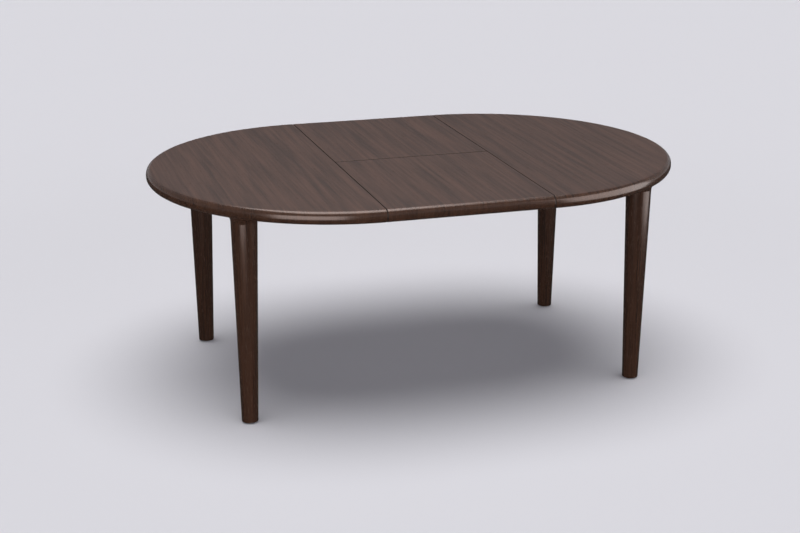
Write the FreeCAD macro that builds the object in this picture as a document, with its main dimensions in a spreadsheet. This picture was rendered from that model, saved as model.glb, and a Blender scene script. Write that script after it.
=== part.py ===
"""Round dining table that extends: two half-round tops on geared slides, with a folding leaf between them.

The origin is on the floor under the middle of the table, X runs along its length and Z points up.
"""
import FreeCAD, Part
import math
import os
from types import SimpleNamespace

import Sketcher
from FreeCAD import Placement, Rotation, Vector

# Driving sizes: lengths in millimetres, angles in degrees
SIZES = (
    # Tops and leaf
    ("table_height", 730.0),
    ("top_radius", 625.0),
    ("leaf_width", 540.0),
    ("board_thick", 22.0),
    ("strip_thick", 20.0),
    ("strip_width", 117.0),
    ("edge_round", 19.5),
    ("seam_gap", 0.6),
    ("seam_chamfer", 1.2),
    # Legs
    ("leg_inset", 73.5),
    ("leg_top_radius", 42.0),
    ("leg_foot_radius", 26.4),
    ("leg_flare", 12.0),
    ("flare_height", 34.0),
    ("foot_bevel", 3.0),
    ("glide_radius", 13.0),
    ("glide_bevel", 1.5),
    ("glide_thick", 4.0),
    ("stud_radius", 5.0),
    ("stud_in_leg", 60.0),
    ("insert_radius", 8.0),
    ("insert_in_board", 9.0),
    # Slides
    ("slide_travel", 40.0),
    ("well_depth", 73.0),
    ("beam_width", 64.0),
    ("beam_clear", 6.0),
    ("beam_overhang", 12.0),
    ("rail_width", 24.0),
    ("rail_height", 20.0),
    ("rail_ease", 0.5),
    ("rail_bevel", 8.0),
    ("groove_depth", 6.0),
    ("groove_height", 7.0),
    ("cap_thick", 4.0),
    ("carriage_length", 240.0),
    ("plate_thick", 10.0),
    ("plate_corner", 12.0),
    ("guide_width", 12.0),
    ("guide_drop", 2.0),
    # Gearing
    ("gear_line", 130.0),
    ("gear_module", 2.5),
    ("pinion_teeth", 14.0),
    ("pressure_angle", 20.0),
    ("tooth_addendum", 2.0),
    ("tooth_dedendum", 2.5),
    ("tooth_backlash", 0.6),
    ("rack_back", 5.0),
    ("rack_height", 10.0),
    ("rack_spare", 20.0),
    ("hub_radius", 9.0),
    ("pin_radius", 4.0),
    ("pin_head_radius", 7.0),
    ("pin_head_thick", 2.0),
    # Leaf hinges and leaf supports
    ("barrel_radius", 6.0),
    ("barrel_length", 20.0),
    ("barrel_spacing", 175.0),
    ("support_reach", 60.0),
    ("support_hold", 60.0),
    ("support_width", 34.0),
    ("support_thick", 4.0),
    ("support_margin", 60.0),
    ("support_pitch", 260.0),
    ("support_stagger", 50.0),
    # Fasteners
    ("screw_radius", 2.5),
    ("screw_head_radius", 5.0),
    ("screw_head_thick", 3.0),
    ("screw_bite", 14.0),
    ("beam_bolt_bite", 12.0),
    ("beam_bolt_grip", 42.0),
    ("rail_bolt_bite", 25.0),
    # Fits
    ("fit_clearance", 0.05),
    ("run_clearance", 0.3),
    ("cut_overrun", 5.0),
)

# Parts of a size, chosen by eye
DIAGONAL_SHARE = math.sqrt(0.5)
FLARE_SHARES = (0.0, 0.25, 0.5, 0.7, 0.85, 1.0)
FLARE_POWER = 2.5
FLANK_SHARES = (0.0, 0.3, 0.65, 1.0)
SCREW_SHARES = (0.3, 0.75)
GUIDE_SCREW_SHARES = (-0.38, 0.38)
BOLT_SHARES = (0.25, 0.75)

SIDES = (("left", -1), ("right", 1))
ENDS = (("front", -1), ("rear", 1))
HALF_TURN = 180.0
EDGE_SEGMENTS = (("front_edge", -1), ("end_edge", 0), ("rear_edge", 1))
EDGE_SEGMENT_ANGLE = HALF_TURN / len(EDGE_SEGMENTS)
HEAD_SIDES = 6


class Size:
    """A length that carries its value and the sheet expression that gives it."""

    def __init__(self, value, text):
        self.value = value
        self.text = text

    def __add__(self, other):
        return Size(self.value + other.value, f"({self.text} + {other.text})")

    def __sub__(self, other):
        return Size(self.value - other.value, f"({self.text} - {other.text})")

    def __neg__(self):
        return Size(-self.value, f"(-{self.text})")

    def __mul__(self, share):
        return Size(self.value * share, f"({self.text} * ({share}))")

    def __truediv__(self, number):
        return Size(self.value / number, f"({self.text} / {number})")

    def over(self, other):
        """Ratio of two lengths, used to scale a third."""
        return Size(self.value / other.value, f"({self.text} / {other.text})")

    def times(self, ratio):
        return Size(self.value * ratio.value, f"({self.text} * {ratio.text})")

    def at_most(self, wall):
        """A round that is limited by the wall it is cut in."""
        return Size(min(self.value, wall.value), f"min({self.text}; {wall.text})")


doc = FreeCAD.newDocument("extending_table")
sheet = doc.addObject("Spreadsheet::Sheet", "sizes")
for row, (alias, number) in enumerate(SIZES, 1):
    sheet.set(f"A{row}", alias)
    sheet.set(f"B{row}", str(number))
    sheet.setAlias(f"B{row}", alias)
doc.recompute()

ZERO = Size(0.0, "0")
S = SimpleNamespace(**{alias: Size(float(sheet.get(alias)), f"sizes.{alias}") for alias, _ in SIZES})
nodes = []


# Levels and places that several pieces share
BOARD_UNDER = S.table_height - S.board_thick
EDGE_UNDER = BOARD_UNDER - S.strip_thick
UPPER_ROUND = S.edge_round.at_most(S.board_thick - S.fit_clearance)
LOWER_ROUND = S.edge_round.at_most(S.strip_thick - S.fit_clearance)
SEAM_X = S.leaf_width / 2
LEAF_SIDE = SEAM_X - S.seam_gap
LEG_REACH = (S.top_radius - S.leg_inset) * DIAGONAL_SHARE
LEG_X = SEAM_X + LEG_REACH
STUD_FOOT = EDGE_UNDER - S.stud_in_leg
INSERT_TOP = BOARD_UNDER + S.insert_in_board
SUPPORT_OUTER = S.top_radius - S.strip_width - S.support_margin

RAIL_TOP = BOARD_UNDER - S.well_depth
RAIL_UNDER = RAIL_TOP - S.rail_height
RAIL_MIDDLE = RAIL_UNDER + S.rail_height / 2
PLATE_TOP = RAIL_UNDER - S.run_clearance
PLATE_UNDER = PLATE_TOP - S.plate_thick
BEAM_NEAR = S.leaf_width + S.beam_clear
BEAM_FAR = BEAM_NEAR + S.beam_width
RAIL_REACH = S.carriage_length / 2 + S.slide_travel + S.run_clearance

PITCH_RADIUS = S.gear_module * (S.pinion_teeth.value / 2)
RAIL_NEAR = PITCH_RADIUS + S.tooth_dedendum + S.rack_back
RAIL_FAR = RAIL_NEAR + S.rail_width
GUIDE_NEAR = RAIL_FAR + S.run_clearance
GUIDE_FAR = GUIDE_NEAR + S.guide_width
GUIDE_TOP = RAIL_TOP - S.guide_drop
RACK_LOW = RAIL_MIDDLE - S.rack_height / 2
RACK_HIGH = RAIL_MIDDLE + S.rack_height / 2
RAIL_OFFSETS = {"left": RAIL_NEAR + S.rail_width / 2, "right": -(RAIL_NEAR + S.rail_width / 2)}


def bind(item, name, size):
    item.setExpression(name, size.text)


def place(item, x=None, y=None, z=None, turn=0.0):
    """Turn an item about Z and hold its place at named sizes."""
    item.Placement = Placement(Vector(), Rotation(Vector(0, 0, 1), turn))
    for axis, size in zip("xyz", (x, y, z)):
        if size is not None:
            bind(item, f"Placement.Base.{axis}", size)
    return item


def signed(size, sign):
    return size if sign > 0 else -size


def span(sign, low, high):
    """A range on the positive side of a middle plane, or its mirror image."""
    return (low, high) if sign > 0 else (-high, -low)


def node(item):
    nodes.append(item)
    return item


def box(label, x, y, z):
    item = doc.addObject("Part::Box", label)
    for edge, axis, (low, high) in zip(("Length", "Width", "Height"), "xyz", (x, y, z)):
        bind(item, edge, high - low)
        bind(item, f"Placement.Base.{axis}", low)
    return item


def rod(label, x, y, low, high, radius):
    """An upright cylinder."""
    item = doc.addObject("Part::Cylinder", label)
    bind(item, "Radius", radius)
    bind(item, "Height", high - low)
    return place(item, x, y, low)


def group(label, items):
    item = doc.addObject("Part::Compound", label)
    item.Links = items
    return item


def cut(label, base, tools):
    item = doc.addObject("Part::Cut", label)
    item.Base = base
    item.Tool = tools[0] if len(tools) == 1 else group(f"{label}_holes", tools)
    return item


def fuse(label, items):
    item = doc.addObject("Part::MultiFuse", label)
    item.Shapes = items
    return item


def outline(body, role, points, arcs=()):
    """A closed sketch through points (across, up), counter-clockwise.

    arcs gives, by the index of a side, the centre and the radius of the arc that it is.
    """
    sketch = body.newObject("Sketcher::SketchObject", f"{body.Name}_outline")
    plane = next(item for item in body.Origin.OriginFeatures if item.Role == role)
    sketch.AttachmentSupport = [(plane, "")]
    sketch.MapMode = "FlatFace"
    rounds = dict(arcs)
    spots = [Vector(across.value, up.value, 0) for across, up in points]
    for index, start in enumerate(spots):
        end = spots[(index + 1) % len(spots)]
        if index in rounds:
            across, up, radius = rounds[index]
            middle = Vector(across.value, up.value, 0)
            angles = [math.atan2(*reversed((spot - middle)[:2])) for spot in (start, end)]
            circle = Part.Circle(middle, Vector(0, 0, 1), radius.value)
            sketch.addGeometry(Part.ArcOfCircle(circle, *angles))
        else:
            sketch.addGeometry(Part.LineSegment(start, end))
    for index in range(len(points)):
        following = (index + 1) % len(points)
        sketch.addConstraint(Sketcher.Constraint("Coincident", index, 2, following, 1))
    for index, (across, up) in enumerate(points):
        hold_point(sketch, index, "DistanceX", across, -2)
        hold_point(sketch, index, "DistanceY", up, -1)
    for index, (_, _, radius) in rounds.items():
        spot = sketch.addConstraint(Sketcher.Constraint("Radius", index, radius.value))
        sketch.setExpression(f"Constraints[{spot}]", radius.text)
    return sketch


def hold_point(sketch, index, kind, size, axis):
    """Hold one coordinate of a line's start at a named size, or on the sketch's own axis."""
    if size is ZERO:
        sketch.addConstraint(Sketcher.Constraint("PointOnObject", index, 1, axis))
        return
    spot = sketch.addConstraint(Sketcher.Constraint(kind, -1, 1, index, 1, size.value))
    sketch.setExpression(f"Constraints[{spot}]", size.text)


def padded(label, role, points, length, arcs=()):
    """A body whose outline is padded evenly to both sides of its plane."""
    body = doc.addObject("PartDesign::Body", label)
    pad = body.newObject("PartDesign::Pad", f"{label}_pad")
    pad.Profile = outline(body, role, points, arcs)
    pad.SideType = "Symmetric"
    bind(pad, "Length", length)
    body.Tip = pad
    return body


def revolved(label, points, angle, arcs=()):
    """A body whose outline turns about the upright axis, evenly to both sides of +X."""
    body = doc.addObject("PartDesign::Body", label)
    turn = body.newObject("PartDesign::Revolution", f"{label}_turn")
    sketch = outline(body, "XZ_Plane", points, arcs)
    turn.Profile = sketch
    turn.ReferenceAxis = (sketch, ["V_Axis"])
    turn.Angle = angle
    turn.Midplane = True
    body.Tip = turn
    return body


def lofted(label, circles, straight):
    """A solid through level circles, each given by its middle and radius; straight or smooth between them."""
    sections = []
    for number, (x, y, z, radius) in enumerate(circles):
        ring = doc.addObject("Part::Circle", f"{label}_ring_{number}")
        bind(ring, "Radius", radius)
        sections.append(place(ring, x, y, z))
    item = doc.addObject("Part::Loft", label)
    item.Sections = sections
    item.Solid = True
    item.Ruled = straight
    return item


def edges_where(shape, test):
    """Numbers of the edges whose ends and middle all pass a test."""
    return [
        number
        for number, edge in enumerate(shape.Edges, 1)
        if all(test(point) for point in edge.discretize(3))
    ]


def dressed(kind, label, base, size, test):
    """A fillet or chamfer on the edges of a base that pass a test."""
    doc.recompute()
    item = doc.addObject(kind, label)
    item.Base = base
    item.Edges = [(number, size.value, size.value) for number in edges_where(base.Shape, test)]
    return item


def near(value, size):
    return abs(value - size.value) < S.fit_clearance.value


def screw(label, x, y, under, tip, radius):
    """A screw driven upward, with its six-sided head below what it holds."""
    shank = rod(f"{label}_shank", x, y, under, tip, radius)
    head = doc.addObject("Part::Prism", f"{label}_head")
    head.Polygon = HEAD_SIDES
    bind(head, "Circumradius", S.screw_head_radius)
    bind(head, "Height", S.screw_head_thick)
    place(head, x, y, under - S.screw_head_thick)
    return fuse(label, [shank, head])


def screw_hole(label, x, y, low, high, radius):
    return rod(label, x, y, low, high, radius + S.fit_clearance)


# Profiles of the bullnose edge, which the round halves and the leaf share
def board_profile(inner):
    rim = S.top_radius
    shoulder = S.table_height - UPPER_ROUND
    points = [
        (inner, BOARD_UNDER),
        (rim, BOARD_UNDER),
        (rim, shoulder),
        (rim - UPPER_ROUND, S.table_height),
        (inner, S.table_height),
    ]
    return points, {2: (rim - UPPER_ROUND, shoulder, UPPER_ROUND)}


def strip_profile():
    rim = S.top_radius
    shoulder = EDGE_UNDER + LOWER_ROUND
    points = [
        (rim - S.strip_width, EDGE_UNDER),
        (rim - LOWER_ROUND, EDGE_UNDER),
        (rim, shoulder),
        (rim, BOARD_UNDER),
        (rim - S.strip_width, BOARD_UNDER),
    ]
    return points, {1: (rim - LOWER_ROUND, shoulder, LOWER_ROUND)}


def seam_cutter(label, seam, sign, inward):
    """Slanted prism that eases the top corner of a seam; inward is the way from the seam into the wood."""
    over = S.cut_overrun
    points = [
        (ZERO, S.table_height - S.seam_chamfer - over),
        (S.seam_chamfer + over + over, S.table_height + over),
        (ZERO, S.table_height + over),
    ]
    prism = padded(label, "XZ_Plane", points, S.top_radius * 2 + over)
    start = seam - over if sign == inward else seam + over
    return place(prism, signed(start, sign), turn=0.0 if inward > 0 else HALF_TURN)


def support_rows(side):
    """Middle lines of a half's leaf supports; the two halves' supports pass each other."""
    outer = SUPPORT_OUTER if side == "right" else SUPPORT_OUTER - S.support_stagger
    return [signed(outer - S.support_pitch * step, sign) for sign in (-1, 1) for step in (0, 1)]


def make_top(side, sign):
    """Half-round board with a chamfered seam edge and holes for inserts and screws."""
    points, arcs = board_profile(ZERO)
    blank = revolved(f"{side}_top_blank", points, HALF_TURN, arcs)
    place(blank, signed(SEAM_X, sign), turn=0.0 if sign > 0 else HALF_TURN)
    holes = [seam_cutter(f"{side}_top_seam", SEAM_X, sign, sign)]
    for end, across in ENDS:
        spot = (signed(LEG_X, sign), signed(LEG_REACH, across))
        low = BOARD_UNDER - S.cut_overrun
        holes.append(screw_hole(f"{side}_{end}_insert_hole", *spot, low, INSERT_TOP, S.insert_radius))
    for number, (x, y) in enumerate(support_screw_spots(side, sign)):
        tip = BOARD_UNDER + S.screw_bite
        low = BOARD_UNDER - S.cut_overrun
        holes.append(screw_hole(f"{side}_support_pilot_{number}", x, y, low, tip, S.screw_radius))
    for number, (x, y) in enumerate(beam_bolt_spots(sign)):
        tip = BOARD_UNDER + S.beam_bolt_bite
        low = BOARD_UNDER - S.cut_overrun
        holes.append(screw_hole(f"{side}_beam_pilot_{number}", x, y, low, tip, S.screw_radius))
    node(cut(f"{side}_top", blank, holes))


def make_edges(side, sign):
    """Three curved strips under the rim that give the lower half of the bullnose."""
    for name, step in EDGE_SEGMENTS:
        points, arcs = strip_profile()
        angle = step * EDGE_SEGMENT_ANGLE
        turn = angle if sign > 0 else HALF_TURN - angle
        end = name.split("_")[0]
        if end == "end":
            strip = node(revolved(f"{side}_{name}", points, EDGE_SEGMENT_ANGLE, arcs))
            place(strip, signed(SEAM_X, sign), turn=turn)
            continue
        blank = revolved(f"{side}_{name}_blank", points, EDGE_SEGMENT_ANGLE, arcs)
        place(blank, signed(SEAM_X, sign), turn=turn)
        spot = (signed(LEG_X, sign), signed(LEG_REACH, dict(ENDS)[end]))
        low = EDGE_UNDER - S.cut_overrun
        high = BOARD_UNDER + S.cut_overrun
        hole = screw_hole(f"{side}_{name}_bore", *spot, low, high, S.insert_radius)
        node(cut(f"{side}_{name}", blank, [hole]))


def make_leg(side, sign, end, across):
    """Round tapered leg whose head swells outward to meet the bullnose."""
    label = f"{side}_{end}_leg"
    x, y = signed(LEG_X, sign), signed(LEG_REACH, across)
    length = EDGE_UNDER - S.glide_thick
    start = EDGE_UNDER - S.flare_height
    neck = S.leg_top_radius - (S.leg_top_radius - S.leg_foot_radius).times(S.flare_height.over(length))
    foot = [
        (x, y, S.glide_thick, S.leg_foot_radius - S.foot_bevel),
        (x, y, S.glide_thick + S.foot_bevel, S.leg_foot_radius),
        (x, y, start, neck),
    ]
    flare = []
    for share in FLARE_SHARES:
        swell = S.leg_flare * (share**FLARE_POWER / 2)
        lean = swell * DIAGONAL_SHARE
        level = start + S.flare_height * share
        radius = neck + (S.leg_top_radius - neck) * share + swell
        flare.append((x + signed(lean, sign), y + signed(lean, across), level, radius))
    shaft = lofted(f"{label}_shaft", foot, True)
    head = lofted(f"{label}_head", flare, False)
    whole = fuse(f"{label}_whole", [shaft, head])
    bore = screw_hole(f"{label}_bore", x, y, STUD_FOOT, EDGE_UNDER + S.cut_overrun, S.stud_radius)
    node(cut(label, whole, [bore]))


def make_leg_fixings(side, sign):
    """Threaded studs, their inserts in the top and the glides under the feet."""
    studs, inserts, glides = [], [], []
    for end, across in ENDS:
        x, y = signed(LEG_X, sign), signed(LEG_REACH, across)
        studs.append(rod(f"{side}_{end}_stud", x, y, STUD_FOOT, INSERT_TOP, S.stud_radius))
        sleeve = rod(f"{side}_{end}_sleeve", x, y, EDGE_UNDER, INSERT_TOP, S.insert_radius)
        low, high = EDGE_UNDER - S.cut_overrun, INSERT_TOP + S.cut_overrun
        thread = screw_hole(f"{side}_{end}_thread", x, y, low, high, S.stud_radius)
        inserts.append(cut(f"{side}_{end}_insert", sleeve, [thread]))
        glide = doc.addObject("Part::Cone", f"{side}_{end}_glide")
        bind(glide, "Radius1", S.glide_radius - S.glide_bevel)
        bind(glide, "Radius2", S.glide_radius)
        bind(glide, "Height", S.glide_thick)
        glides.append(place(glide, x, y, ZERO))
    node(group(f"{side}_leg_studs", studs))
    node(group(f"{side}_leg_inserts", inserts))
    node(group(f"{side}_foot_glides", glides))


def stepped_bar(label, length, held, low, high, ease, width, bevel):
    """A bar along X, full height where it is held and eased along the rest of its top."""
    points = [
        (bevel, low),
        (length, low),
        (length, high - ease),
        (held, high - ease),
        (held, high),
        (ZERO, high),
        (ZERO, low + bevel),
    ]
    return padded(label, "XZ_Plane", points, width)


def support_screw_spots(side, sign):
    hold = S.support_hold
    return [
        (signed(SEAM_X + hold * share, sign), row)
        for row in support_rows(side)
        for share in SCREW_SHARES
    ]


def make_supports(side, sign):
    """Steel bars under a half's seam that carry the edge of the leaf, with their screws."""
    bars = []
    under = BOARD_UNDER - S.support_thick
    holes = [
        screw_hole(f"{side}_support_hole_{n}", x, y, under - S.cut_overrun, BOARD_UNDER, S.screw_radius)
        for n, (x, y) in enumerate(support_screw_spots(side, sign))
    ]
    for number, row in enumerate(support_rows(side)):
        label = f"{side}_support_{number}"
        bar = stepped_bar(
            f"{label}_blank",
            S.support_hold + S.support_reach,
            S.support_hold,
            under,
            BOARD_UNDER,
            S.run_clearance,
            S.support_width,
            S.support_thick / 2,
        )
        place(bar, signed(SEAM_X + S.support_hold, sign), row, turn=HALF_TURN if sign > 0 else 0.0)
        own = holes[number * len(SCREW_SHARES):(number + 1) * len(SCREW_SHARES)]
        bars.append(cut(label, bar, own))
    node(group(f"{side}_leaf_supports", bars))
    tip = BOARD_UNDER + S.screw_bite
    screws = [
        screw(f"{side}_support_screw_{n}", x, y, under, tip, S.screw_radius)
        for n, (x, y) in enumerate(support_screw_spots(side, sign))
    ]
    node(group(f"{side}_support_screws", screws))


def rail_row(side, across):
    return signed(S.gear_line + RAIL_OFFSETS[side], across)


def rail_bolt_spots(side, sign):
    return [
        (signed(BEAM_NEAR + S.beam_width * share, sign), rail_row(side, across))
        for _, across in ENDS
        for share in BOLT_SHARES
    ]


def beam_bolt_spots(sign):
    return [
        (signed(BEAM_NEAR + S.beam_width * share, sign), signed(S.gear_line, across))
        for _, across in ENDS
        for share in BOLT_SHARES
    ]


def make_beam(side, sign):
    """Cross beam that hangs the rails below the leaf well, bolted up into the board."""
    reach = S.gear_line + RAIL_FAR + S.beam_overhang
    blank = box(
        f"{side}_beam_blank", span(sign, BEAM_NEAR, BEAM_FAR), (-reach, reach), (RAIL_TOP, BOARD_UNDER)
    )
    eased = dressed(
        "Part::Chamfer",
        f"{side}_beam_eased",
        blank,
        S.rail_bevel,
        lambda point: near(point.z, RAIL_TOP) and near(abs(point.y), reach),
    )
    seat = BOARD_UNDER - S.beam_bolt_grip
    tools, bolts = [], []
    for number, (x, y) in enumerate(beam_bolt_spots(sign)):
        label = f"{side}_beam_bolt_{number}"
        low = RAIL_TOP - S.cut_overrun
        tools.append(screw_hole(f"{label}_well", x, y, low, seat, S.screw_head_radius))
        tools.append(screw_hole(f"{label}_bore", x, y, low, BOARD_UNDER + S.cut_overrun, S.screw_radius))
        bolts.append(screw(label, x, y, seat, BOARD_UNDER + S.beam_bolt_bite, S.screw_radius))
    for number, (x, y) in enumerate(rail_bolt_spots(side, sign)):
        low, high = RAIL_TOP - S.cut_overrun, RAIL_TOP + S.rail_bolt_bite
        tools.append(screw_hole(f"{side}_rail_pilot_{number}", x, y, low, high, S.screw_radius))
    node(cut(f"{side}_cross_beam", eased, tools))
    node(group(f"{side}_beam_bolts", bolts))


def make_rails(side, sign):
    """Grooved rails that run through the carriage, their end stops and their bolts."""
    caps = []
    for end, across in ENDS:
        label = f"{side}_{end}_rail"
        row = rail_row(side, across)
        blank = stepped_bar(
            f"{label}_blank",
            BEAM_FAR + RAIL_REACH,
            S.beam_width,
            RAIL_UNDER,
            RAIL_TOP,
            S.rail_ease,
            S.rail_width,
            S.rail_bevel,
        )
        place(blank, signed(BEAM_FAR, sign), row, turn=HALF_TURN if sign > 0 else 0.0)
        length = span(sign, -RAIL_REACH - S.cut_overrun, BEAM_FAR + S.cut_overrun)
        depth = (RAIL_FAR - S.groove_depth, RAIL_FAR + S.cut_overrun)
        width = gear_span(side, across, *depth)
        height = (RAIL_MIDDLE - S.groove_height / 2, RAIL_MIDDLE + S.groove_height / 2)
        groove = box(f"{label}_groove", length, width, height)
        spots = rail_bolt_spots(side, sign)[:2] if across < 0 else rail_bolt_spots(side, sign)[2:]
        low, high = RAIL_UNDER - S.cut_overrun, RAIL_TOP + S.cut_overrun
        bores = [
            screw_hole(f"{label}_bore_{n}", x, y, low, high, S.screw_radius)
            for n, (x, y) in enumerate(spots)
        ]
        node(cut(label, blank, [groove] + bores))
        caps.append(
            box(
                f"{side}_{end}_cap",
                span(-sign, RAIL_REACH, RAIL_REACH + S.cap_thick),
                gear_span(side, across, RAIL_NEAR, GUIDE_FAR),
                (RAIL_UNDER, RAIL_TOP - S.rail_ease),
            )
        )
    node(group(f"{side}_rail_stops", caps))
    tip = RAIL_TOP + S.rail_bolt_bite
    bolts = [
        screw(f"{side}_rail_bolt_{n}", x, y, RAIL_UNDER, tip, S.screw_radius)
        for n, (x, y) in enumerate(rail_bolt_spots(side, sign))
    ]
    node(group(f"{side}_rail_bolts", bolts))


def gear_span(side, across, low, high):
    """A range measured from the gear line towards a side's rail."""
    if side == "left":
        return span(across, S.gear_line + low, S.gear_line + high)
    return span(across, S.gear_line - high, S.gear_line - low)


def make_racks(side, sign):
    """Toothed bars on the rails' inner faces, in mesh with the pinions at the middle of the table."""
    pitch = math.pi * S.gear_module.value
    slope = math.tan(math.radians(S.pressure_angle.value))
    thick = (pitch - S.tooth_backlash.value) / 2
    inward = math.ceil((SEAM_X + S.rack_spare).value / pitch)
    outward = math.ceil((S.slide_travel + S.rack_spare).value / pitch)
    crest = PITCH_RADIUS - S.tooth_addendum
    root = PITCH_RADIUS + S.tooth_dedendum
    for end, across in ENDS:
        toward = across if side == "left" else -across
        points = []
        for number in range(-outward, inward):
            middle = (number + 0.5) * pitch
            foot = thick / 2 + S.tooth_dedendum.value * slope
            tip = thick / 2 - S.tooth_addendum.value * slope
            points += [(middle - foot, root.value), (middle - tip, crest.value)]
            points += [(middle + tip, crest.value), (middle + foot, root.value)]
        points += [(inward * pitch, root.value), (inward * pitch, RAIL_NEAR.value)]
        points += [(-outward * pitch, RAIL_NEAR.value), (-outward * pitch, root.value)]
        line = signed(S.gear_line, across).value
        wire = [Vector(sign * along, line + toward * away, RACK_LOW.value) for along, away in points]
        face = Part.Face(Part.makePolygon(wire + wire[:1]))
        rack = doc.addObject("Part::Feature", f"{side}_{end}_rack")
        rack.Shape = face.extrude(Vector(0, 0, S.rack_height.value))
        node(rack)


def involute(angle):
    return math.tan(angle) - angle


def make_pinions():
    """Involute pinions, one tooth pointing along Y each way so that both racks are in mesh."""
    count = int(S.pinion_teeth.value)
    pitch_radius = PITCH_RADIUS.value
    base = pitch_radius * math.cos(math.radians(S.pressure_angle.value))
    crest = pitch_radius + S.tooth_addendum.value
    root = pitch_radius - S.tooth_dedendum.value
    half = (math.pi * S.gear_module.value - S.tooth_backlash.value) / 4 / pitch_radius
    half += involute(math.radians(S.pressure_angle.value))
    flank = [(root, half)]
    for share in FLANK_SHARES:
        radius = base + (crest - base) * share
        flank.append((radius, half - involute(math.acos(base / radius))))
    tooth = [(radius, -turn) for radius, turn in flank] + [(radius, turn) for radius, turn in reversed(flank)]
    for end, across in ENDS:
        points = []
        for number in range(count):
            middle = math.pi / 2 + number * 2 * math.pi / count
            points += [
                Vector(radius * math.cos(middle + turn), radius * math.sin(middle + turn), 0)
                for radius, turn in tooth
            ]
        wheel = Part.Face(Part.makePolygon(points + points[:1])).extrude(Vector(0, 0, S.rack_height.value))
        drop = (RACK_LOW - RAIL_UNDER).value
        hub = Part.makeCylinder(S.hub_radius.value, drop, Vector(0, 0, -drop))
        bore_radius = (S.pin_radius + S.fit_clearance).value
        bore = Part.makeCylinder(bore_radius, drop + S.rack_height.value, Vector(0, 0, -drop))
        pinion = doc.addObject("Part::Feature", f"{end}_pinion")
        pinion.Shape = wheel.fuse(hub).cut(bore)
        node(place(pinion, ZERO, signed(S.gear_line, across), RACK_LOW))


def make_guide(label, across, outer):
    """Fixed bar with a tongue that holds a rail down by its groove."""
    half = S.groove_height / 2 - S.run_clearance
    tongue = S.groove_depth
    points = [
        (tongue, PLATE_TOP),
        (tongue + S.guide_width, PLATE_TOP),
        (tongue + S.guide_width, GUIDE_TOP),
        (tongue, GUIDE_TOP),
        (tongue, RAIL_MIDDLE + half),
        (ZERO, RAIL_MIDDLE + half),
        (ZERO, RAIL_MIDDLE - half),
        (tongue, RAIL_MIDDLE - half),
    ]
    guide = padded(f"{label}_blank", "YZ_Plane", points, S.carriage_length)
    reach = GUIDE_NEAR - tongue
    row = S.gear_line + reach if outer else S.gear_line - reach
    away = across if outer else -across
    place(guide, y=signed(row, across), turn=0.0 if away > 0 else HALF_TURN)
    return guide


def make_carriage():
    """Base plate between the halves, with guides for the rails and pins for the pinions."""
    reach = S.gear_line + GUIDE_FAR
    half = S.carriage_length / 2
    blank = box("carriage_blank", (-half, half), (-reach, reach), (PLATE_UNDER, PLATE_TOP))
    rounded = dressed(
        "Part::Fillet",
        "carriage_rounded",
        blank,
        S.plate_corner,
        lambda point: near(abs(point.x), half) and near(abs(point.y), reach),
    )
    holes, pins, screws = [], [], []
    for end, across in ENDS:
        row = signed(S.gear_line, across)
        seat = RACK_HIGH + S.run_clearance
        shank = rod(f"{end}_pin_shank", ZERO, row, PLATE_UNDER, seat, S.pin_radius)
        head = rod(f"{end}_pin_head", ZERO, row, seat, seat + S.pin_head_thick, S.pin_head_radius)
        pins.append(fuse(f"{end}_pinion_pin", [shank, head]))
        low, high = PLATE_UNDER - S.cut_overrun, PLATE_TOP + S.cut_overrun
        holes.append(screw_hole(f"{end}_pin_hole", ZERO, row, low, high, S.pin_radius))
        for name, outer in (("outer", True), ("inner", False)):
            label = f"{end}_{name}_guide"
            middle = GUIDE_NEAR + S.guide_width / 2
            line = signed(S.gear_line + middle if outer else S.gear_line - middle, across)
            pilots = []
            for number, share in enumerate(GUIDE_SCREW_SHARES):
                spot = (S.carriage_length * share, line)
                tip = PLATE_TOP + S.screw_bite
                screws.append(screw(f"{label}_screw_{number}", *spot, PLATE_UNDER, tip, S.screw_radius))
                hole = screw_hole(f"{label}_hole_{number}", *spot, low, tip, S.screw_radius)
                holes.append(hole)
                pilots.append(hole)
            node(cut(label, make_guide(label, across, outer), pilots))
    node(cut("carriage_plate", rounded, holes))
    node(group("pinion_pins", pins))
    node(group("guide_screws", screws))


def make_leaf(end, across):
    """One half of the leaf: board, edge strip and the hinge barrels let into its meeting edge."""
    turn = 0.0 if across > 0 else HALF_TURN
    meeting = S.seam_gap / 2
    points, arcs = board_profile(meeting)
    points[-1:] = [
        (meeting + S.seam_chamfer, S.table_height),
        (meeting, S.table_height - S.seam_chamfer),
    ]
    width = LEAF_SIDE * 2
    blank = place(padded(f"{end}_leaf_blank", "YZ_Plane", points, width, arcs), turn=turn)
    seams = [seam_cutter(f"{end}_leaf_{side}_seam", LEAF_SIDE, sign, -sign) for side, sign in SIDES]
    barrels, sockets = [], []
    middle = S.table_height - S.board_thick / 2
    tilt = Rotation(Vector(1, 0, 0), -across * HALF_TURN / 2)
    for step in (-1, 0, 1):
        for name, radius, items in (
            ("barrel", S.barrel_radius, barrels),
            ("socket", S.barrel_radius + S.fit_clearance, sockets),
        ):
            item = doc.addObject("Part::Cylinder", f"{end}_{name}_{step + 1}")
            bind(item, "Radius", radius)
            bind(item, "Height", S.barrel_length)
            place(item, S.barrel_spacing * step, signed(meeting, across), middle)
            item.Placement.Rotation = tilt
            items.append(item)
    node(cut(f"{end}_leaf", blank, sockets + seams))
    node(group(f"{end}_hinge_barrels", barrels))
    points, arcs = strip_profile()
    node(place(padded(f"{end}_leaf_edge", "YZ_Plane", points, width, arcs), turn=turn))


def make_half(side, sign):
    make_top(side, sign)
    make_edges(side, sign)
    for end, across in ENDS:
        make_leg(side, sign, end, across)
    make_leg_fixings(side, sign)
    make_supports(side, sign)
    make_beam(side, sign)
    make_rails(side, sign)
    make_racks(side, sign)


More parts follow.
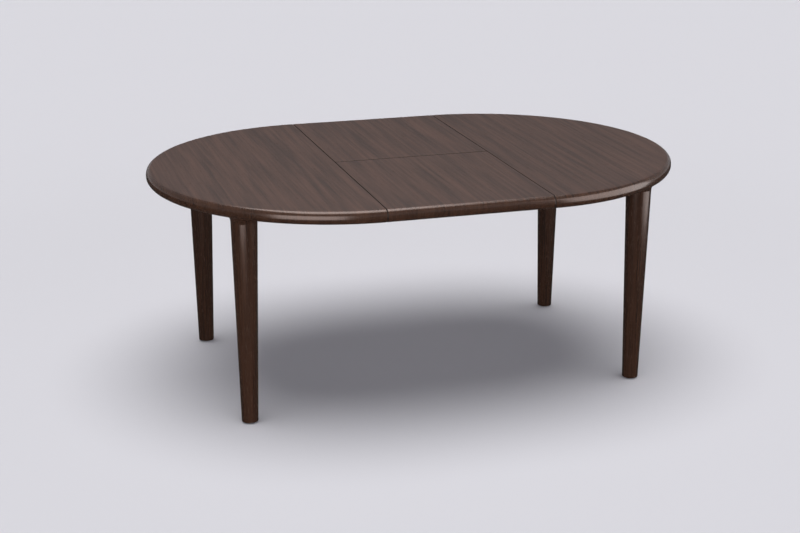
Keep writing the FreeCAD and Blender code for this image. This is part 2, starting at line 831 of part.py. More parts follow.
def write_nodes():
    """Check every object and solid, then write one file for each node."""
    doc.recompute()
    for item in doc.Objects:
        if {"Invalid", "Error"} & set(item.State):
            raise RuntimeError(f"{item.Name} did not recompute: {item.State}")
    for item in nodes:
        if item.Shape.isNull() or not item.Shape.isValid():
            raise RuntimeError(f"{item.Label} has no valid shape")
    os.makedirs("parts", exist_ok=True)
    for item in nodes:
        item.Shape.exportStep(f"parts/{item.Label}.step")
    print(len(nodes), "nodes written")


for half_name, half_sign in SIDES:
    make_half(half_name, half_sign)
make_carriage()
make_pinions()
for leaf_name, leaf_sign in ENDS:
    make_leaf(leaf_name, leaf_sign)
write_nodes()
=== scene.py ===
"""An extending dining table in dark stained wood: two half-round ends on four round tapered legs,
a folding leaf between them, and the sliding carriage underneath. Metres, +Z up, the front edge
towards -Y."""

import math

import bmesh
import bpy
import numpy as np
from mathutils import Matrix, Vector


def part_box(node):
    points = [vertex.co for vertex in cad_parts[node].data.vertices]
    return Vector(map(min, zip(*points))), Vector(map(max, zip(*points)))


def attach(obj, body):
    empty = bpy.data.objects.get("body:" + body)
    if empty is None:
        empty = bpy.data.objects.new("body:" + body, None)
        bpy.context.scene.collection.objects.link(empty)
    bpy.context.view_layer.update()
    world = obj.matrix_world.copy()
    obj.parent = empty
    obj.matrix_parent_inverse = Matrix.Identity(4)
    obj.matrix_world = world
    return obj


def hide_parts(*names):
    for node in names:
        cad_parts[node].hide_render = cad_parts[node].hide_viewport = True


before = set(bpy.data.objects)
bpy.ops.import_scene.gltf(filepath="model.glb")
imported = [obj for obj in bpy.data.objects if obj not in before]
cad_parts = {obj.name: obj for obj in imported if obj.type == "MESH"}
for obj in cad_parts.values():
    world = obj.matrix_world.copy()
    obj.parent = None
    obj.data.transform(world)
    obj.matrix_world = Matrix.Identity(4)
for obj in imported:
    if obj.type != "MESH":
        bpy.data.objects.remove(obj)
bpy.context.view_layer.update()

# Sizes read from the frame
BOARD_LOW, BOARD_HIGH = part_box("right_top")
STRIP_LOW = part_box("right_end_edge")[0]
LEAF_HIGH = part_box("front_leaf")[1]
LEG_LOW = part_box("right_front_leg")[0]
QUARTER_TURN = np.pi / 2
SEGMENT_TURN = np.pi / 3
TOP_RADIUS = BOARD_HIGH.y
SEAM_PLANE = BOARD_LOW.x
TOP_LEVEL = BOARD_HIGH.z
BOARD_UNDER = BOARD_LOW.z
STRIP_UNDER = STRIP_LOW.z
STRIP_INNER_RADIUS = (STRIP_LOW.x - SEAM_PLANE) / math.cos(SEGMENT_TURN / 2)
LEAF_SIDE = LEAF_HIGH.x
LEAF_FOLD_FACE = -LEAF_HIGH.y
LEG_FOOT_LEVEL = LEG_LOW.z

# Rounds and eased corners
EDGE_ROUND = 0.0195
SEAM_EASE = 0.0015
SEAM_SETBACK = 0.0007
FOLD_SETBACK = 0.0026
INNER_EASE = 0.0030
REBATE_DEPTH = 0.0050
REBATE_GAP = 0.0001
ROUND_STEPS = 14
EASE_STEPS = 3
TURN_STEPS = 120
FEWEST_TURN_STEPS = 8
LEAF_STEPS = 40
SMALL_ANGLE = 1e-6

# Legs
LEG_TOP_RADIUS = 0.0420
LEG_FOOT_RADIUS = 0.0264
FOOT_EASE = 0.0030
FLARE_RADIUS = 0.0284
FLARE_FULL_ANGLE = math.radians(5.0)
FLARE_END_ANGLE = math.radians(118.0)
FLARE_SINK = 0.0012
FLARE_TURN = math.radians(70.0)
LEG_ROUND_STEPS = 96
SHAFT_STEPS = 24
FLARE_STEPS = 14

# Closing the meshes
MERGE_DISTANCE = 1e-6
SLIVER_LENGTH = 1e-7
SHARP_ANGLE = math.radians(40.0)

# Stain and lacquer of the wood
FACE_STAIN = (0.0470, 0.0221, 0.0147, 1.0)
EDGE_STAIN = (0.0400, 0.0184, 0.0104, 1.0)
# Near-black of a seam's arrises and walls: stain in the joint and painted shade of the gap
SEAM_STAIN_AND_SHADE = (0.005, 0.0024, 0.0014, 1.0)
SHEEN_TINT = (1.0, 0.80, 0.74, 1.0)
SHEEN_LEVEL = 0.65
STREAK_ROUGHNESS = (0.23, 0.18)
PORE_ROUGHNESS = 0.14
SEAM_ROUGHNESS = 0.5
LEVEL_ROUGHNESS = 0.28
LEG_POLISH = 0.02

# Grain of the wood: noise cells in a metre, across it and along it, and the weight of each layer
BAND_CELLS = (20.0, 1.3)
STREAK_CELLS = (75.0, 1.9)
FIBRE_CELLS = (230.0, 3.0)
PORE_CELLS = (1100.0, 26.0)
EDGE_DRAW = 0.15
BAND_WEIGHT = 0.7
STREAK_WEIGHT = 1.8
FIBRE_WEIGHT = 2.2
PORE_WEIGHT = 0.10
FIGURE_MIDDLE = 2.35
FIGURE_REACH = 0.6
UPRIGHT_FIGURE = 0.62
LEVEL_FIGURE = 1.4
DARK_SHARE = 0.45
PALE_SHARE = 1.55
FIBRE_HEIGHT = 0.5

# Spans of a noise, and of the upward share of a face's normal, over which a finish changes
NOISE_SPAN = (0.3, 0.7)
PORE_SPAN = (0.60, 0.72)
FIGURE_SPAN = (0.6, 0.98)
STAIN_SPAN = (0.75, 0.98)
SATIN_SPAN = (0.90, 0.995)

# Where each board and leg is cut from the grain, and each leg's painted light and shade: a tone that
# makes the front legs paler and the rear legs darker, standing in for more light from the front
BEAM_GRAIN = (0.19, 0.42, 0.31)
HALF_GRAIN = {"right": (0.9, 0.3, 0.2), "left": (3.7, 1.3, 0.6)}
LEAF_GRAIN = {"front": (5.1, 2.3, 0.9), "rear": (7.4, 0.7, 0.4)}
LEG_GRAIN_AND_PAINTED_LIGHT = {
    "right_front_leg": ((1.1, 0.4, 0.3), 0.84),
    "right_rear_leg": ((2.6, 1.9, 1.2), 0.76),
    "left_front_leg": ((4.3, 0.8, 2.2), 0.96),
    "left_rear_leg": ((6.2, 1.5, 3.1), 0.72),
}

# Colours of the running gear
NYLON_BLACK = (0.034, 0.034, 0.036)
ALUMINIUM = (0.74, 0.745, 0.75)
BRASS = (0.72, 0.50, 0.22)
ZINC = (0.60, 0.61, 0.63)
PLY_DARK = (0.105, 0.062, 0.038)
PLY_PALE = (0.215, 0.138, 0.092)

# Marks, clouds and layers of the running gear
MARK_CELLS = 4.0
MARK_SHINE = 0.07
MARK_DULLNESS = 0.09
METAL_CLOUD = 0.78
NYLON_CLOUD = 0.7
NYLON_ROUGHNESS = (0.42, 0.56)
PLY_ROUGHNESS = (0.52, 0.66)
PLY_LAYER_STRETCH = (0.3, 0.3, 1.0)
PLY_GRAIN_CELLS = (4.0, 130.0, 130.0)
PLY_LAYER_WEIGHT = 0.45
PLY_GRAIN_WEIGHT = 0.55

# Camera that takes the photograph's view
CAMERA_PLACE = (-1.544, -4.937, 1.990)
CAMERA_TILT = math.radians(72.291)
CAMERA_TURN = math.radians(-16.917)
LENS_MM = 70.51
SENSOR_MM = 36.0

# Studio
FLOOR_HALF = 60.0
FLOOR_ROUGHNESS = 0.9
BACKDROP = (0.701, 0.694, 0.730, 1.0)
STUDIO_UPPER = (0.290, 0.284, 0.294, 1.0)
STUDIO_LOWER = (0.050, 0.048, 0.048, 1.0)
STUDIO_BANDS = ((0.490, STUDIO_LOWER), (0.497, BACKDROP), (0.508, BACKDROP), (0.540, STUDIO_UPPER))
FILL_LIGHT = 1.72
FILL_FRONT = 0.8
FILL_COLOUR = (0.985, 0.985, 1.05, 1.0)
FILL_RISE = (0.28, 0.46)
SUN_STRENGTH = 2.40
SUN_ANGLE = math.radians(58.0)
SUN_TILT = (math.radians(1.2), math.radians(-1.1), 0.0)

# Sheen panels: name, target, bearing and rise in degrees, distance, width and height, radiance
SHEEN_PANELS = (
    ("sheen_above", (-0.11, -0.60, 0.72), 180.0, 80.0, 6.0, (4.46, 5.4), 4.4),
    ("sheen_front_left", (-0.50, -0.50, 0.70), -28.0, 4.0, 1.5, (1.36, 1.36), 3.6),
    ("sheen_front_right", (0.60, -0.40, 0.70), 55.0, 10.0, 1.5, (2.3, 1.85), 3.0),
)


def smooth_step(value, start, end):
    """Zero before start, one after end, with a cubic ease between them."""
    share = np.clip((value - start) / (end - start), 0.0, 1.0)
    return share * share * (3.0 - 2.0 * share)


def arc(centre_out, centre_up, radius, start, end, steps):
    """Points and outward normals of a circular arc: centre plus radius times (cos, sin) of the
    angle."""
    angle = np.radians(np.linspace(start, end, steps + 1))
    normal = np.column_stack([np.cos(angle), np.sin(angle)])
    return np.array([centre_out, centre_up]) + radius * normal, normal


def flat(*points, normal=(0.0, 0.0)):
    """Corner points of a straight stretch of a profile, all with one outward normal."""
    place = np.array(points, float)
    return place, np.tile(np.array(normal, float), (len(place), 1))


def profile(*stretches):
    """Joins stretches of a closed profile into one run of points and one run of normals."""
    return np.vstack([s[0] for s in stretches]), np.vstack([s[1] for s in stretches])


def upper_rim():
    """The board's rim: a quarter round from its upright flat to the top face."""
    return arc(TOP_RADIUS - EDGE_ROUND, TOP_LEVEL - EDGE_ROUND, EDGE_ROUND, 0.0, 90.0, ROUND_STEPS)


def half_board_profile():
    """Section of a half-round board from its middle to its rim: flat under, a short upright flat,
    quarter-round rim, flat top."""
    under = flat((0.0, BOARD_UNDER), (TOP_RADIUS, BOARD_UNDER))
    top = flat((0.0, TOP_LEVEL), normal=(0.0, 1.0))
    return profile(under, upper_rim(), top)


def leaf_board_profile():
    """Section of a leaf board: the same rim, and where it meets the other leaf an eased corner
    and a tongue below it."""
    fold_face = LEAF_FOLD_FACE + FOLD_SETBACK
    tongue_face = LEAF_FOLD_FACE + REBATE_GAP
    tongue_level = TOP_LEVEL - REBATE_DEPTH
    fold_out = fold_face + SEAM_EASE
    under = flat((tongue_face, BOARD_UNDER), (fold_out, BOARD_UNDER), (TOP_RADIUS, BOARD_UNDER))
    fold_corner = arc(fold_out, TOP_LEVEL - SEAM_EASE, SEAM_EASE, 90.0, 180.0, EASE_STEPS)
    tongue = flat((fold_face, tongue_level), (tongue_face, tongue_level))
    return profile(under, upper_rim(), fold_corner, tongue)


def strip_profile():
    """Section of an edge strip: eased inner corner, flat under, quarter round up to the board's
    rim."""
    inner_top = flat((STRIP_INNER_RADIUS, BOARD_UNDER))
    inner_out = STRIP_INNER_RADIUS + INNER_EASE
    inner_up = STRIP_UNDER + INNER_EASE
    inner_corner = arc(inner_out, inner_up, INNER_EASE, 180.0, 270.0, EASE_STEPS)
    rim_out = TOP_RADIUS - EDGE_ROUND
    rim = arc(rim_out, STRIP_UNDER + EDGE_ROUND, EDGE_ROUND, -90.0, 0.0, ROUND_STEPS)
    outer_top = flat((TOP_RADIUS, BOARD_UNDER))
    return profile(inner_top, inner_corner, rim, outer_top)


def eased_rows(shape, rebated):
    """Rows of a profile close to a seam: it shrinks along its normals as 1 - cos t while it runs
    out as sin t, and a rebated one then runs on to the seam as a tongue of the profile shrunk by
    the rebate's depth. Gives the rows from the seam inwards, and how far each stands back from
    the seam."""
    place, normal = shape
    turn = np.linspace(QUARTER_TURN, 0.0, EASE_STEPS + 1)[:-1]
    depth = SEAM_EASE * (1.0 - np.cos(turn))
    back = SEAM_SETBACK + SEAM_EASE * (1.0 - np.sin(turn))
    if rebated:
        depth = np.concatenate([[REBATE_DEPTH, REBATE_DEPTH], depth])
        back = np.concatenate([[REBATE_GAP, SEAM_SETBACK], back])
    return place - depth[:, None, None] * normal, back


def carried_round(shape, side, start, end, rebated=False):
    """A profile carried round part of half a turn: (seam + r cos a, r sin a, z) of the section's
    (r, z). A stretch that starts or ends on the seam has its corner eased there. Side is 1 for
    the right half and -1 for the left."""
    place, _ = shape
    steps = max(FEWEST_TURN_STEPS, int(TURN_STEPS * (end - start) / np.pi))
    angle = np.linspace(start, end, steps + 1)[:, None]
    first = SEAM_SETBACK + SEAM_EASE
    flatten = (TOP_RADIUS - first) / TOP_RADIUS
    out = SEAM_PLANE + first + flatten * np.cos(angle) * place[:, 0]
    across = np.sin(angle) * place[:, 0]
    rows = [np.stack([out, across, np.broadcast_to(place[:, 1], out.shape)], axis=-1)]
    for limit, way in ((start, -1.0), (end, 1.0)):
        if abs(abs(limit) - QUARTER_TURN) < SMALL_ANGLE:
            shrunk, back = eased_rows(shape, rebated)
            run = np.broadcast_to(SEAM_PLANE + back[:, None], shrunk.shape[:2])
            end_rows = np.stack([run, way * shrunk[..., 0], shrunk[..., 1]], axis=-1)
            rows = [end_rows, *rows] if way < 0 else [*rows, end_rows[::-1]]
    return np.concatenate(rows) * np.array([side, 1.0, 1.0])


def carried_along(shape, way, rebated=False):
    """A profile carried straight along X across the leaf: (x, way times r, z), eased at both
    ends."""
    place, _ = shape
    shrunk, back = eased_rows(shape, rebated)
    first = LEAF_SIDE - SEAM_SETBACK - SEAM_EASE
    x = np.linspace(-first, first, LEAF_STEPS + 1)
    middle = np.broadcast_to(place, (len(x), *place.shape))
    sections = np.concatenate([shrunk, middle, shrunk[::-1]])
    along = np.concatenate([back - LEAF_SIDE, x, (LEAF_SIDE - back)[::-1]])
    along = np.broadcast_to(along[:, None], sections.shape[:2])
    return np.stack([along, way * sections[..., 0], sections[..., 1]], axis=-1)


def leg_rings(centre, outward):
    """A leg as rings of radius r(z, a): a straight taper, an eased foot, and at the head a concave
    flare of the outward side, R - sqrt(R^2 - h^2) at a height h above the flare's foot, that fades
    away round the leg by a cubic ease."""
    head = STRIP_UNDER
    taper_rate = (LEG_TOP_RADIUS - LEG_FOOT_RADIUS) / (head - LEG_FOOT_LEVEL)
    foot_turn = np.linspace(0.0, QUARTER_TURN, EASE_STEPS + 1)
    foot_level = LEG_FOOT_LEVEL + FOOT_EASE * (1.0 - np.cos(foot_turn))
    flare_foot = head + FLARE_SINK - FLARE_RADIUS * math.sin(FLARE_TURN)
    shaft_level = np.linspace(LEG_FOOT_LEVEL + FOOT_EASE, flare_foot, SHAFT_STEPS + 1)[1:]
    flare_turn = np.linspace(0.0, FLARE_TURN, FLARE_STEPS + 1)[1:]
    flare_level = flare_foot + FLARE_RADIUS * np.sin(flare_turn)
    level = np.concatenate([foot_level, shaft_level, flare_level])
    inset = np.zeros_like(level)
    inset[: len(foot_turn)] = FOOT_EASE * (1.0 - np.sin(foot_turn))
    swell = np.zeros_like(level)
    first = len(foot_level) + len(shaft_level)
    swell[first:] = FLARE_RADIUS * (1.0 - np.cos(flare_turn))
    angle = np.linspace(-np.pi, np.pi, LEG_ROUND_STEPS, endpoint=False)
    fade = 1.0 - smooth_step(np.abs(angle), FLARE_FULL_ANGLE, FLARE_END_ANGLE)
    taper = LEG_FOOT_RADIUS + taper_rate * (level - LEG_FOOT_LEVEL) - inset
    radius = taper[:, None] + swell[:, None] * fade
    turned = angle + outward
    x = centre[0] + radius * np.cos(turned)
    y = centre[1] + radius * np.sin(turned)
    return np.stack([x, y, np.broadcast_to(level[:, None], x.shape)], axis=-1)


def seam_shade(rings):
    """How deep each point lies in a seam, from 0 on open faces to 1 on the seam's walls: one minus
    its distance to the nearest seam wall over the width of the eased corner."""
    across, along = np.abs(rings[..., 0]), np.abs(rings[..., 1])
    wall_gap = np.minimum(np.abs(across - SEAM_PLANE), np.abs(across - LEAF_SIDE))
    side_gap = wall_gap - SEAM_SETBACK
    fold_gap = np.where(across < LEAF_SIDE, along - LEAF_FOLD_FACE - FOLD_SETBACK, np.inf)
    return np.clip(1.0 - np.minimum(side_gap, fold_gap) / SEAM_EASE, 0.0, 1.0)


def piece(name, rings, material, body, node):
    """A closed mesh of rings joined by quads, round each ring and from ring to ring, with its two
    ends capped. Where a half board's two ends meet on its middle line, the walls between them are
    taken out."""
    rows, points = rings.shape[:2]
    row = np.arange(rows - 1)[:, None] * points
    here = np.arange(points)
    after = (here + 1) % points
    corners = [row + here, row + after, row + points + after, row + points + here]
    quads = np.stack(corners, axis=-1).reshape(-1, 4)
    caps = [here[::-1].tolist(), (here + (rows - 1) * points).tolist()]
    mesh = bpy.data.meshes.new(name)
    mesh.from_pydata(rings.reshape(-1, 3).tolist(), [], quads.tolist() + caps)
    shade = mesh.attributes.new("seam_shade", "FLOAT", "POINT")
    shade.data.foreach_set("value", seam_shade(rings).ravel().astype(np.float32))
    work = bmesh.new()
    work.from_mesh(mesh)
    bmesh.ops.remove_doubles(work, verts=work.verts, dist=MERGE_DISTANCE)
    bmesh.ops.dissolve_degenerate(work, edges=work.edges, dist=SLIVER_LENGTH)
    inner = [f for f in work.faces if all(abs(v.co.y) < MERGE_DISTANCE for v in f.verts)]
    bmesh.ops.delete(work, geom=inner, context="FACES")
    bmesh.ops.recalc_face_normals(work, faces=work.faces)
    work.to_mesh(mesh)
    work.free()
    mesh.shade_smooth()
    mesh.set_sharp_from_angle(angle=SHARP_ANGLE)
    mesh.materials.append(material)
    made = bpy.data.objects.new(name, mesh)
    bpy.context.scene.collection.objects.link(made)
    weighted = made.modifiers.new("flat_faces_first", "WEIGHTED_NORMAL")
    weighted.keep_sharp = True
    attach(made, body)
    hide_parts(node)


def set_sockets(tree, node, settings):
    """Sets a node's sockets, by name or index, to values or to other nodes' outputs."""
    for key, value in settings.items():
        if isinstance(value, bpy.types.NodeSocket):
            tree.links.new(value, node.inputs[key])
        else:
            node.inputs[key].default_value = value


def add_node(tree, kind, settings, **properties):
    """Adds a node, with its properties and its sockets set."""
    made = tree.nodes.new(kind)
    for key, value in properties.items():
        setattr(made, key, value)
    set_sockets(tree, made, settings)
    return made


def add_ramp(tree, value, stops):
    """Colours at positions along a value."""
    made = add_node(tree, "ShaderNodeValToRGB", {"Fac": value})
    elements = made.color_ramp.elements
    while len(elements) < len(stops):
        elements.new(0.5)
    for element, (position, colour) in zip(elements, stops):
        element.position = position
        element.color = colour
    return made.outputs["Color"]


class Finish:
    """A material's node tree, with short calls to add nodes and join them."""

    def __init__(self, name):
        self.material = bpy.data.materials.new(name)
        self.material.use_nodes = True
        self.tree = self.material.node_tree
        self.shader = self.tree.nodes["Principled BSDF"]
        self.place = self.add("ShaderNodeTexCoord", {}).outputs["Object"]

    def add(self, kind, settings, **properties):
        """Adds a node to this finish."""
        return add_node(self.tree, kind, settings, **properties)

    def set(self, settings):
        """Sets or links the shader's own sockets."""
        set_sockets(self.tree, self.shader, settings)

    def stretched(self, scale, offset=(0.0, 0.0, 0.0)):
        """Object coordinates, stretched and moved."""
        settings = {"Vector": self.place, "Location": offset, "Scale": scale}
        return self.add("ShaderNodeMapping", settings).outputs["Vector"]

    def noise(self, vector, scale=1.0, detail=2.0, rough=0.5, distortion=0.0):
        """Fractal noise about 0.5."""
        settings = {
            "Vector": vector,
            "Scale": scale,
            "Detail": detail,
            "Roughness": rough,
            "Distortion": distortion,
        }
        return self.add("ShaderNodeTexNoise", settings).outputs["Fac"]

    def reckon(self, operation, first, second):
        """One arithmetic step."""
        settings = {0: first, 1: second}
        return self.add("ShaderNodeMath", settings, operation=operation).outputs[0]

    def plus(self, first, second):
        """Adds two values."""
        return self.reckon("ADD", first, second)

    def minus(self, first, second):
        """Takes the second value from the first."""
        return self.reckon("SUBTRACT", first, second)

    def times(self, first, second):
        """Multiplies two values."""
        return self.reckon("MULTIPLY", first, second)

    def range(self, value, low, high, to_low, to_high):
        """Maps low..high to to_low..to_high, held at the ends."""
        settings = {
            "Value": value,
            "From Min": low,
            "From Max": high,
            "To Min": to_low,
            "To Max": to_high,
        }
        return self.add("ShaderNodeMapRange", settings, clamp=True).outputs["Result"]

    def ramp(self, value, *stops):
        """Opaque colours at positions along a value."""
        return add_ramp(self.tree, value, [(place, (*colour, 1.0)) for place, colour in stops])

    def mix(self, share, first, second):
        """Goes from one colour to another with a share."""
        settings = {0: share, 6: first, 7: second}
        return self.add("ShaderNodeMix", settings, data_type="RGBA").outputs[2]

    def scaled(self, colour, share):
        """A colour made darker or paler by a share."""
        settings = {0: colour, "Scale": share}
        return self.add("ShaderNodeVectorMath", settings, operation="SCALE").outputs["Vector"]

    def bump(self, height, strength, distance):
        """A bump normal from a height."""
        settings = {"Height": height, "Strength": strength, "Distance": distance}
        return self.add("ShaderNodeBump", settings).outputs["Normal"]


def stained_wood(name, along, offset, tone=1.0, polish=0.0):
    """Dark stained hardwood: soft bands, streaks a finger wide, fibres and open pores drawn out
    along the grain axis, in solid 3-D so that they run over the rounded edge. Upright faces take
    the stain deeper and more evenly than level ones, level faces are more satin, and the arrises
    of a seam are nearly black, partly stain in the joint and partly painted shade of the gap. A
    tone below one darkens the whole wood, which the legs use as painted light and shade."""
    wood = Finish(name)

    def grain(cells, **settings):
        """Noise drawn out along the grain; the streaks of a board run down its edge."""
        across, length = cells
        down = EDGE_DRAW * across if along == "y" else across
        scale = {"x": across, "y": across, "z": down, along: length}
        return wood.noise(wood.stretched(tuple(scale.values()), offset), **settings)

    bands = grain(BAND_CELLS, detail=2.0, distortion=0.6)
    streaks = grain(STREAK_CELLS, detail=3.0, rough=0.6, distortion=0.35)
    fibres = grain(FIBRE_CELLS, detail=3.0, rough=0.6)
    pores = wood.range(grain(PORE_CELLS, detail=1.0), *PORE_SPAN, 0.0, 1.0)
    normal = wood.add("ShaderNodeTexCoord", {}).outputs["Normal"]
    rise = wood.add("ShaderNodeSeparateXYZ", {"Vector": normal}).outputs["Z"]
    level = wood.reckon("ABSOLUTE", rise, 0.0)

    figure = wood.plus(wood.times(bands, BAND_WEIGHT), wood.times(streaks, STREAK_WEIGHT))
    figure = wood.plus(figure, wood.times(fibres, FIBRE_WEIGHT))
    liveliness = wood.range(level, *FIGURE_SPAN, UPRIGHT_FIGURE, LEVEL_FIGURE)
    figure = wood.times(wood.minus(figure, FIGURE_MIDDLE), liveliness)
    figure = wood.minus(figure, wood.times(pores, PORE_WEIGHT))
    # A tone below one darkens the whole stain; on the legs it is painted light and shade, paler on the
    # front legs and darker on the rear ones
    dark, pale = DARK_SHARE * tone, PALE_SHARE * tone
    share = wood.range(figure, -FIGURE_REACH, FIGURE_REACH, dark, pale)
    flatness = wood.range(level, *STAIN_SPAN, 0.0, 1.0)
    stain = wood.scaled(wood.mix(flatness, EDGE_STAIN, FACE_STAIN), share)

    seam = wood.add("ShaderNodeAttribute", {}, attribute_name="seam_shade").outputs["Fac"]
    dull, bright = (roughness - polish for roughness in STREAK_ROUGHNESS)
    lacquer = wood.range(streaks, *NOISE_SPAN, dull, bright)
    roughness = wood.plus(lacquer, wood.times(pores, PORE_ROUGHNESS))
    satin = wood.range(level, *SATIN_SPAN, 0.0, LEVEL_ROUGHNESS)
    roughness = wood.plus(roughness, satin)
    height = wood.minus(wood.times(fibres, FIBRE_HEIGHT), pores)
    wood.set({
        # Seam arrises go near-black: stain in the joint and painted shade of the gap
        "Base Color": wood.mix(seam, stain, SEAM_STAIN_AND_SHADE),
        "Roughness": wood.plus(roughness, wood.times(seam, SEAM_ROUGHNESS)),
        "Specular IOR Level": SHEEN_LEVEL,
        "Specular Tint": SHEEN_TINT,
        "Normal": wood.bump(height, strength=0.14, distance=0.0003),
    })
    return wood.material


def metal(name, colour, roughness, along, scale):
    """Metal with fine drawing or plating marks along one axis."""
    made = Finish(name)
    stretch = tuple(MARK_CELLS if axis == along else scale for axis in "xyz")
    marks = made.noise(made.stretched(stretch), detail=3.0, rough=0.6)
    cloud = made.noise(made.place, scale=22.0, detail=3.0)
    darker = tuple(METAL_CLOUD * c for c in colour)
    made.set({
        "Base Color": made.ramp(cloud, (0.25, darker), (0.75, colour)),
        "Metallic": 1.0,
        "Roughness": made.range(marks, *NOISE_SPAN, roughness - MARK_SHINE, roughness + MARK_DULLNESS),
        "Normal": made.bump(marks, strength=0.12, distance=0.0002),
    })
    return made.material


def moulded_nylon(name, colour):
    """Moulded nylon: a faint cloud in the colour and a fine matt skin."""
    made = Finish(name)
    cloud = made.noise(made.place, scale=40.0, detail=3.0)
    skin = made.noise(made.place, scale=1800.0, detail=2.0)
    darker = tuple(NYLON_CLOUD * c for c in colour)
    made.set({
        "Base Color": made.ramp(cloud, *zip(NOISE_SPAN, (darker, colour))),
        "Roughness": made.range(skin, *NOISE_SPAN, *NYLON_ROUGHNESS),
        "Normal": made.bump(skin, strength=0.15, distance=0.0002),
    })
    return made.material


def stained_ply(name):
    """Stained plywood: veneers in level layers on the cut edges, with long grain on the faces."""
    made = Finish(name)
    layers = made.add("ShaderNodeTexWave", {
        "Vector": made.stretched(PLY_LAYER_STRETCH),
        "Scale": 105.0,
        "Distortion": 0.4,
        "Detail": 1.0,
    }, bands_direction="Z").outputs["Fac"]
    grain = made.noise(made.stretched(PLY_GRAIN_CELLS), detail=4.0, rough=0.6)
    tone = made.plus(made.times(layers, PLY_LAYER_WEIGHT), made.times(grain, PLY_GRAIN_WEIGHT))
    made.set({
        "Base Color": made.ramp(tone, (0.2, PLY_DARK), (0.8, PLY_PALE)),
        "Roughness": made.range(grain, *NOISE_SPAN, *PLY_ROUGHNESS),
        "Normal": made.bump(grain, strength=0.2, distance=0.0003),
    })
    return made.material


BLACK_NYLON = moulded_nylon("black_nylon", NYLON_BLACK)
NODE_FINISHES = {
    "cross_beam": stained_wood("stained_cross_beam_wood", "y", BEAM_GRAIN),
    "rack": BLACK_NYLON,
    "pinion": BLACK_NYLON,
    "glides": BLACK_NYLON,
    "guide": BLACK_NYLON,
    "rail_stops": BLACK_NYLON,
    "rail": metal("drawn_aluminium", ALUMINIUM, 0.33, "x", 900.0),
    "carriage_plate": stained_ply("carriage_ply"),
    "hinge_barrels": metal("hinge_brass", BRASS, 0.30, "x", 700.0),
}
ZINC_STEEL = metal("zinc_steel", ZINC, 0.30, "z", 600.0)
STEEL_WORDS = ("supports", "screws", "bolts", "studs", "inserts", "pins")


def finish_of(node):
    """The finish of a kept CAD node, found by the words in its name."""
    if any(word in node for word in STEEL_WORDS):
        return ZINC_STEEL
    return next(finish for word, finish in NODE_FINISHES.items() if word in node)


def build_table_top():
    """Half-round boards, their edge strips, and the two leaf boards with theirs."""
    segments = {
        "front": (-QUARTER_TURN, SEGMENT_TURN - QUARTER_TURN),
        "end": (-SEGMENT_TURN / 2, SEGMENT_TURN / 2),
        "rear": (QUARTER_TURN - SEGMENT_TURN, QUARTER_TURN),
    }
    for side, way in (("right", 1), ("left", -1)):
        body = f"{side}_half"
        wood = stained_wood(f"{side}_half_wood", "y", HALF_GRAIN[side])
        rings = carried_round(half_board_profile(), way, -QUARTER_TURN, QUARTER_TURN, rebated=True)
        piece(f"{side}_half_board", rings, wood, body, f"{side}_top")
        for place, (start, end) in segments.items():
            rings = carried_round(strip_profile(), way, start, end)
            node = f"{side}_{place}_edge"
            piece(f"{node}_strip", rings, wood, body, node)
    for place, way, body in (("front", -1, "front_leaf_half"), ("rear", 1, "centre_carriage")):
        node = f"{place}_leaf"
        wood = stained_wood(f"{node}_wood", "y", LEAF_GRAIN[place])
        rings = carried_along(leaf_board_profile(), way, rebated=True)
        piece(f"{node}_board", rings, wood, body, node)
        rings = carried_along(strip_profile(), way)
        piece(f"{node}_edge_strip", rings, wood, body, f"{node}_edge")


def build_legs():
    """Four turned legs, each flared towards the rim it stands under."""
    for side, way in (("right", 1), ("left", -1)):
        low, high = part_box(f"{side}_foot_glides")
        x = (low.x + high.x) / 2
        for place, face in (("front", -1), ("rear", 1)):
            node = f"{side}_{place}_leg"
            y = face * (high.y - (high.x - low.x) / 2)
            outward = math.atan2(y, x - way * SEAM_PLANE)
            # The leg's tone is painted light and shade: paler for the front legs, darker for the rear
            # ones
            offset, tone = LEG_GRAIN_AND_PAINTED_LIGHT[node]
            wood = stained_wood(f"{node}_wood", "z", offset, tone, LEG_POLISH)
            rings = leg_rings((x, y), outward)
            piece(f"{node}_turning", rings, wood, f"{side}_half", node)


def finish_kept_nodes():
    """Gives every CAD node that still shows its finish."""
    for name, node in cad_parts.items():
        if not node.hide_render:
            node.data.materials.clear()
            node.data.materials.append(finish_of(name))


def build_floor():
    """A wide pale floor, which gloss on the table doesn't pick up."""
    mesh = bpy.data.meshes.new("floor")
    far = FLOOR_HALF
    corners = [(-far, -far, 0.0), (far, -far, 0.0), (far, far, 0.0), (-far, far, 0.0)]
    mesh.from_pydata(corners, [], [(0, 1, 2, 3)])
    paint = Finish("floor_paint")
    paint.set({"Base Color": BACKDROP, "Roughness": FLOOR_ROUGHNESS, "Specular IOR Level": 0.0})
    mesh.materials.append(paint.material)
    floor = bpy.data.objects.new("floor", mesh)
    bpy.context.scene.collection.objects.link(floor)
    floor.visible_glossy = False


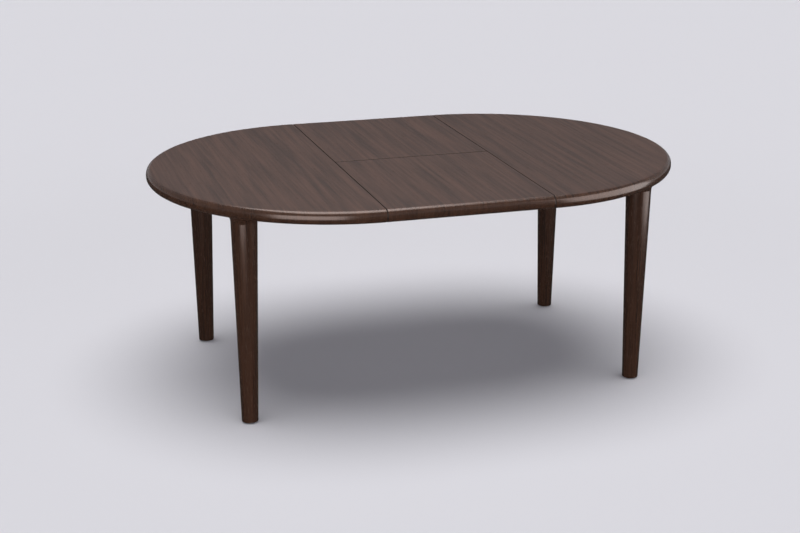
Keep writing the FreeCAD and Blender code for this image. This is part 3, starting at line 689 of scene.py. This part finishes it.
def build_world():
    """The camera sees the pale backdrop all round. Gloss sees it along the horizon, with a dimmer
    studio above and below. The surfaces themselves get a fill from low all round, stronger from
    the front."""
    world = bpy.data.worlds.new("studio")
    bpy.context.scene.world = world
    world.use_nodes = True
    tree = world.node_tree
    tree.nodes.clear()

    def add(kind, settings, **properties):
        """Adds a node to the world."""
        return add_node(tree, kind, settings, **properties)

    path = add("ShaderNodeLightPath", {}).outputs
    mirrored = {0: path["Is Glossy Ray"], 1: path["Is Transmission Ray"]}
    gloss = add("ShaderNodeMath", mirrored, operation="MAXIMUM").outputs[0]
    direction = add("ShaderNodeTexCoord", {}).outputs["Generated"]
    parts = add("ShaderNodeSeparateXYZ", {0: direction}).outputs
    height = add("ShaderNodeMapRange", {"Value": parts["Z"], "From Min": -1.0}).outputs["Result"]
    bands = add_ramp(tree, height, STUDIO_BANDS)
    low_fill = add("ShaderNodeMapRange", {
        "Value": parts["Z"],
        "From Min": FILL_RISE[0],
        "From Max": FILL_RISE[1],
        "To Min": FILL_LIGHT,
        "To Max": 0.0,
    }, interpolation_type="SMOOTHSTEP").outputs["Result"]
    front_share = add("ShaderNodeMapRange", {
        "Value": parts["Y"],
        "From Min": -1.0,
        "To Min": 1.0 + FILL_FRONT,
        "To Max": 1.0 - FILL_FRONT,
    }).outputs["Result"]
    strength = add("ShaderNodeMath", {0: low_fill, 1: front_share}, operation="MULTIPLY").outputs[0]
    fill = add("ShaderNodeBackground", {"Color": FILL_COLOUR, "Strength": strength}).outputs[0]
    studio = add("ShaderNodeBackground", {"Color": bands}).outputs[0]
    backdrop = add("ShaderNodeBackground", {"Color": BACKDROP}).outputs[0]
    lit = add("ShaderNodeMixShader", {0: gloss, 1: fill, 2: studio}).outputs[0]
    seen = add("ShaderNodeMixShader", {0: path["Is Camera Ray"], 1: lit, 2: backdrop}).outputs[0]
    add("ShaderNodeOutputWorld", {"Surface": seen})


def build_soft_light():
    """A broad soft light overhead, which makes the shadow under the table."""
    data = bpy.data.lights.new("overhead_soft_light", "SUN")
    data.energy = SUN_STRENGTH
    data.angle = SUN_ANGLE
    lamp = bpy.data.objects.new("overhead_soft_light", data)
    bpy.context.scene.collection.objects.link(lamp)
    lamp.rotation_euler = SUN_TILT
    lamp.visible_glossy = False


def sheen_panel(name, target, azimuth, elevation, distance, size, radiance):
    """A flat panel that only gives a sheen. It stands at a bearing (0 in front, + to the right)
    and a rise from its target, and faces it."""
    bearing, rise = math.radians(azimuth), math.radians(elevation)
    level_reach = math.cos(rise)
    toward = np.array([
        math.sin(bearing) * level_reach,
        -math.cos(bearing) * level_reach,
        math.sin(rise),
    ])
    data = bpy.data.lights.new(name, "AREA")
    data.shape = "RECTANGLE"
    data.size, data.size_y = size
    data.energy = math.pi * size[0] * size[1] * radiance
    lamp = bpy.data.objects.new(name, data)
    bpy.context.scene.collection.objects.link(lamp)
    lamp.location = np.array(target) + distance * toward
    lamp.rotation_euler = (math.pi / 2 - rise, 0.0, bearing)
    lamp.visible_camera = False
    lamp.visible_diffuse = False


def build_lights():
    """Soft overhead light and the sheen panels."""
    build_soft_light()
    for panel in SHEEN_PANELS:
        sheen_panel(*panel)


def build_camera():
    """The photograph's viewpoint."""
    data = bpy.data.cameras.new("photo_view")
    data.lens = LENS_MM
    data.sensor_width = SENSOR_MM
    camera = bpy.data.objects.new("photo_view", data)
    bpy.context.scene.collection.objects.link(camera)
    camera.location = CAMERA_PLACE
    camera.rotation_euler = (CAMERA_TILT, 0.0, CAMERA_TURN)
    bpy.context.scene.camera = camera


build_table_top()
build_legs()
finish_kept_nodes()
build_floor()
build_world()
build_lights()
build_camera()
bpy.context.scene.view_settings.view_transform = "Standard"
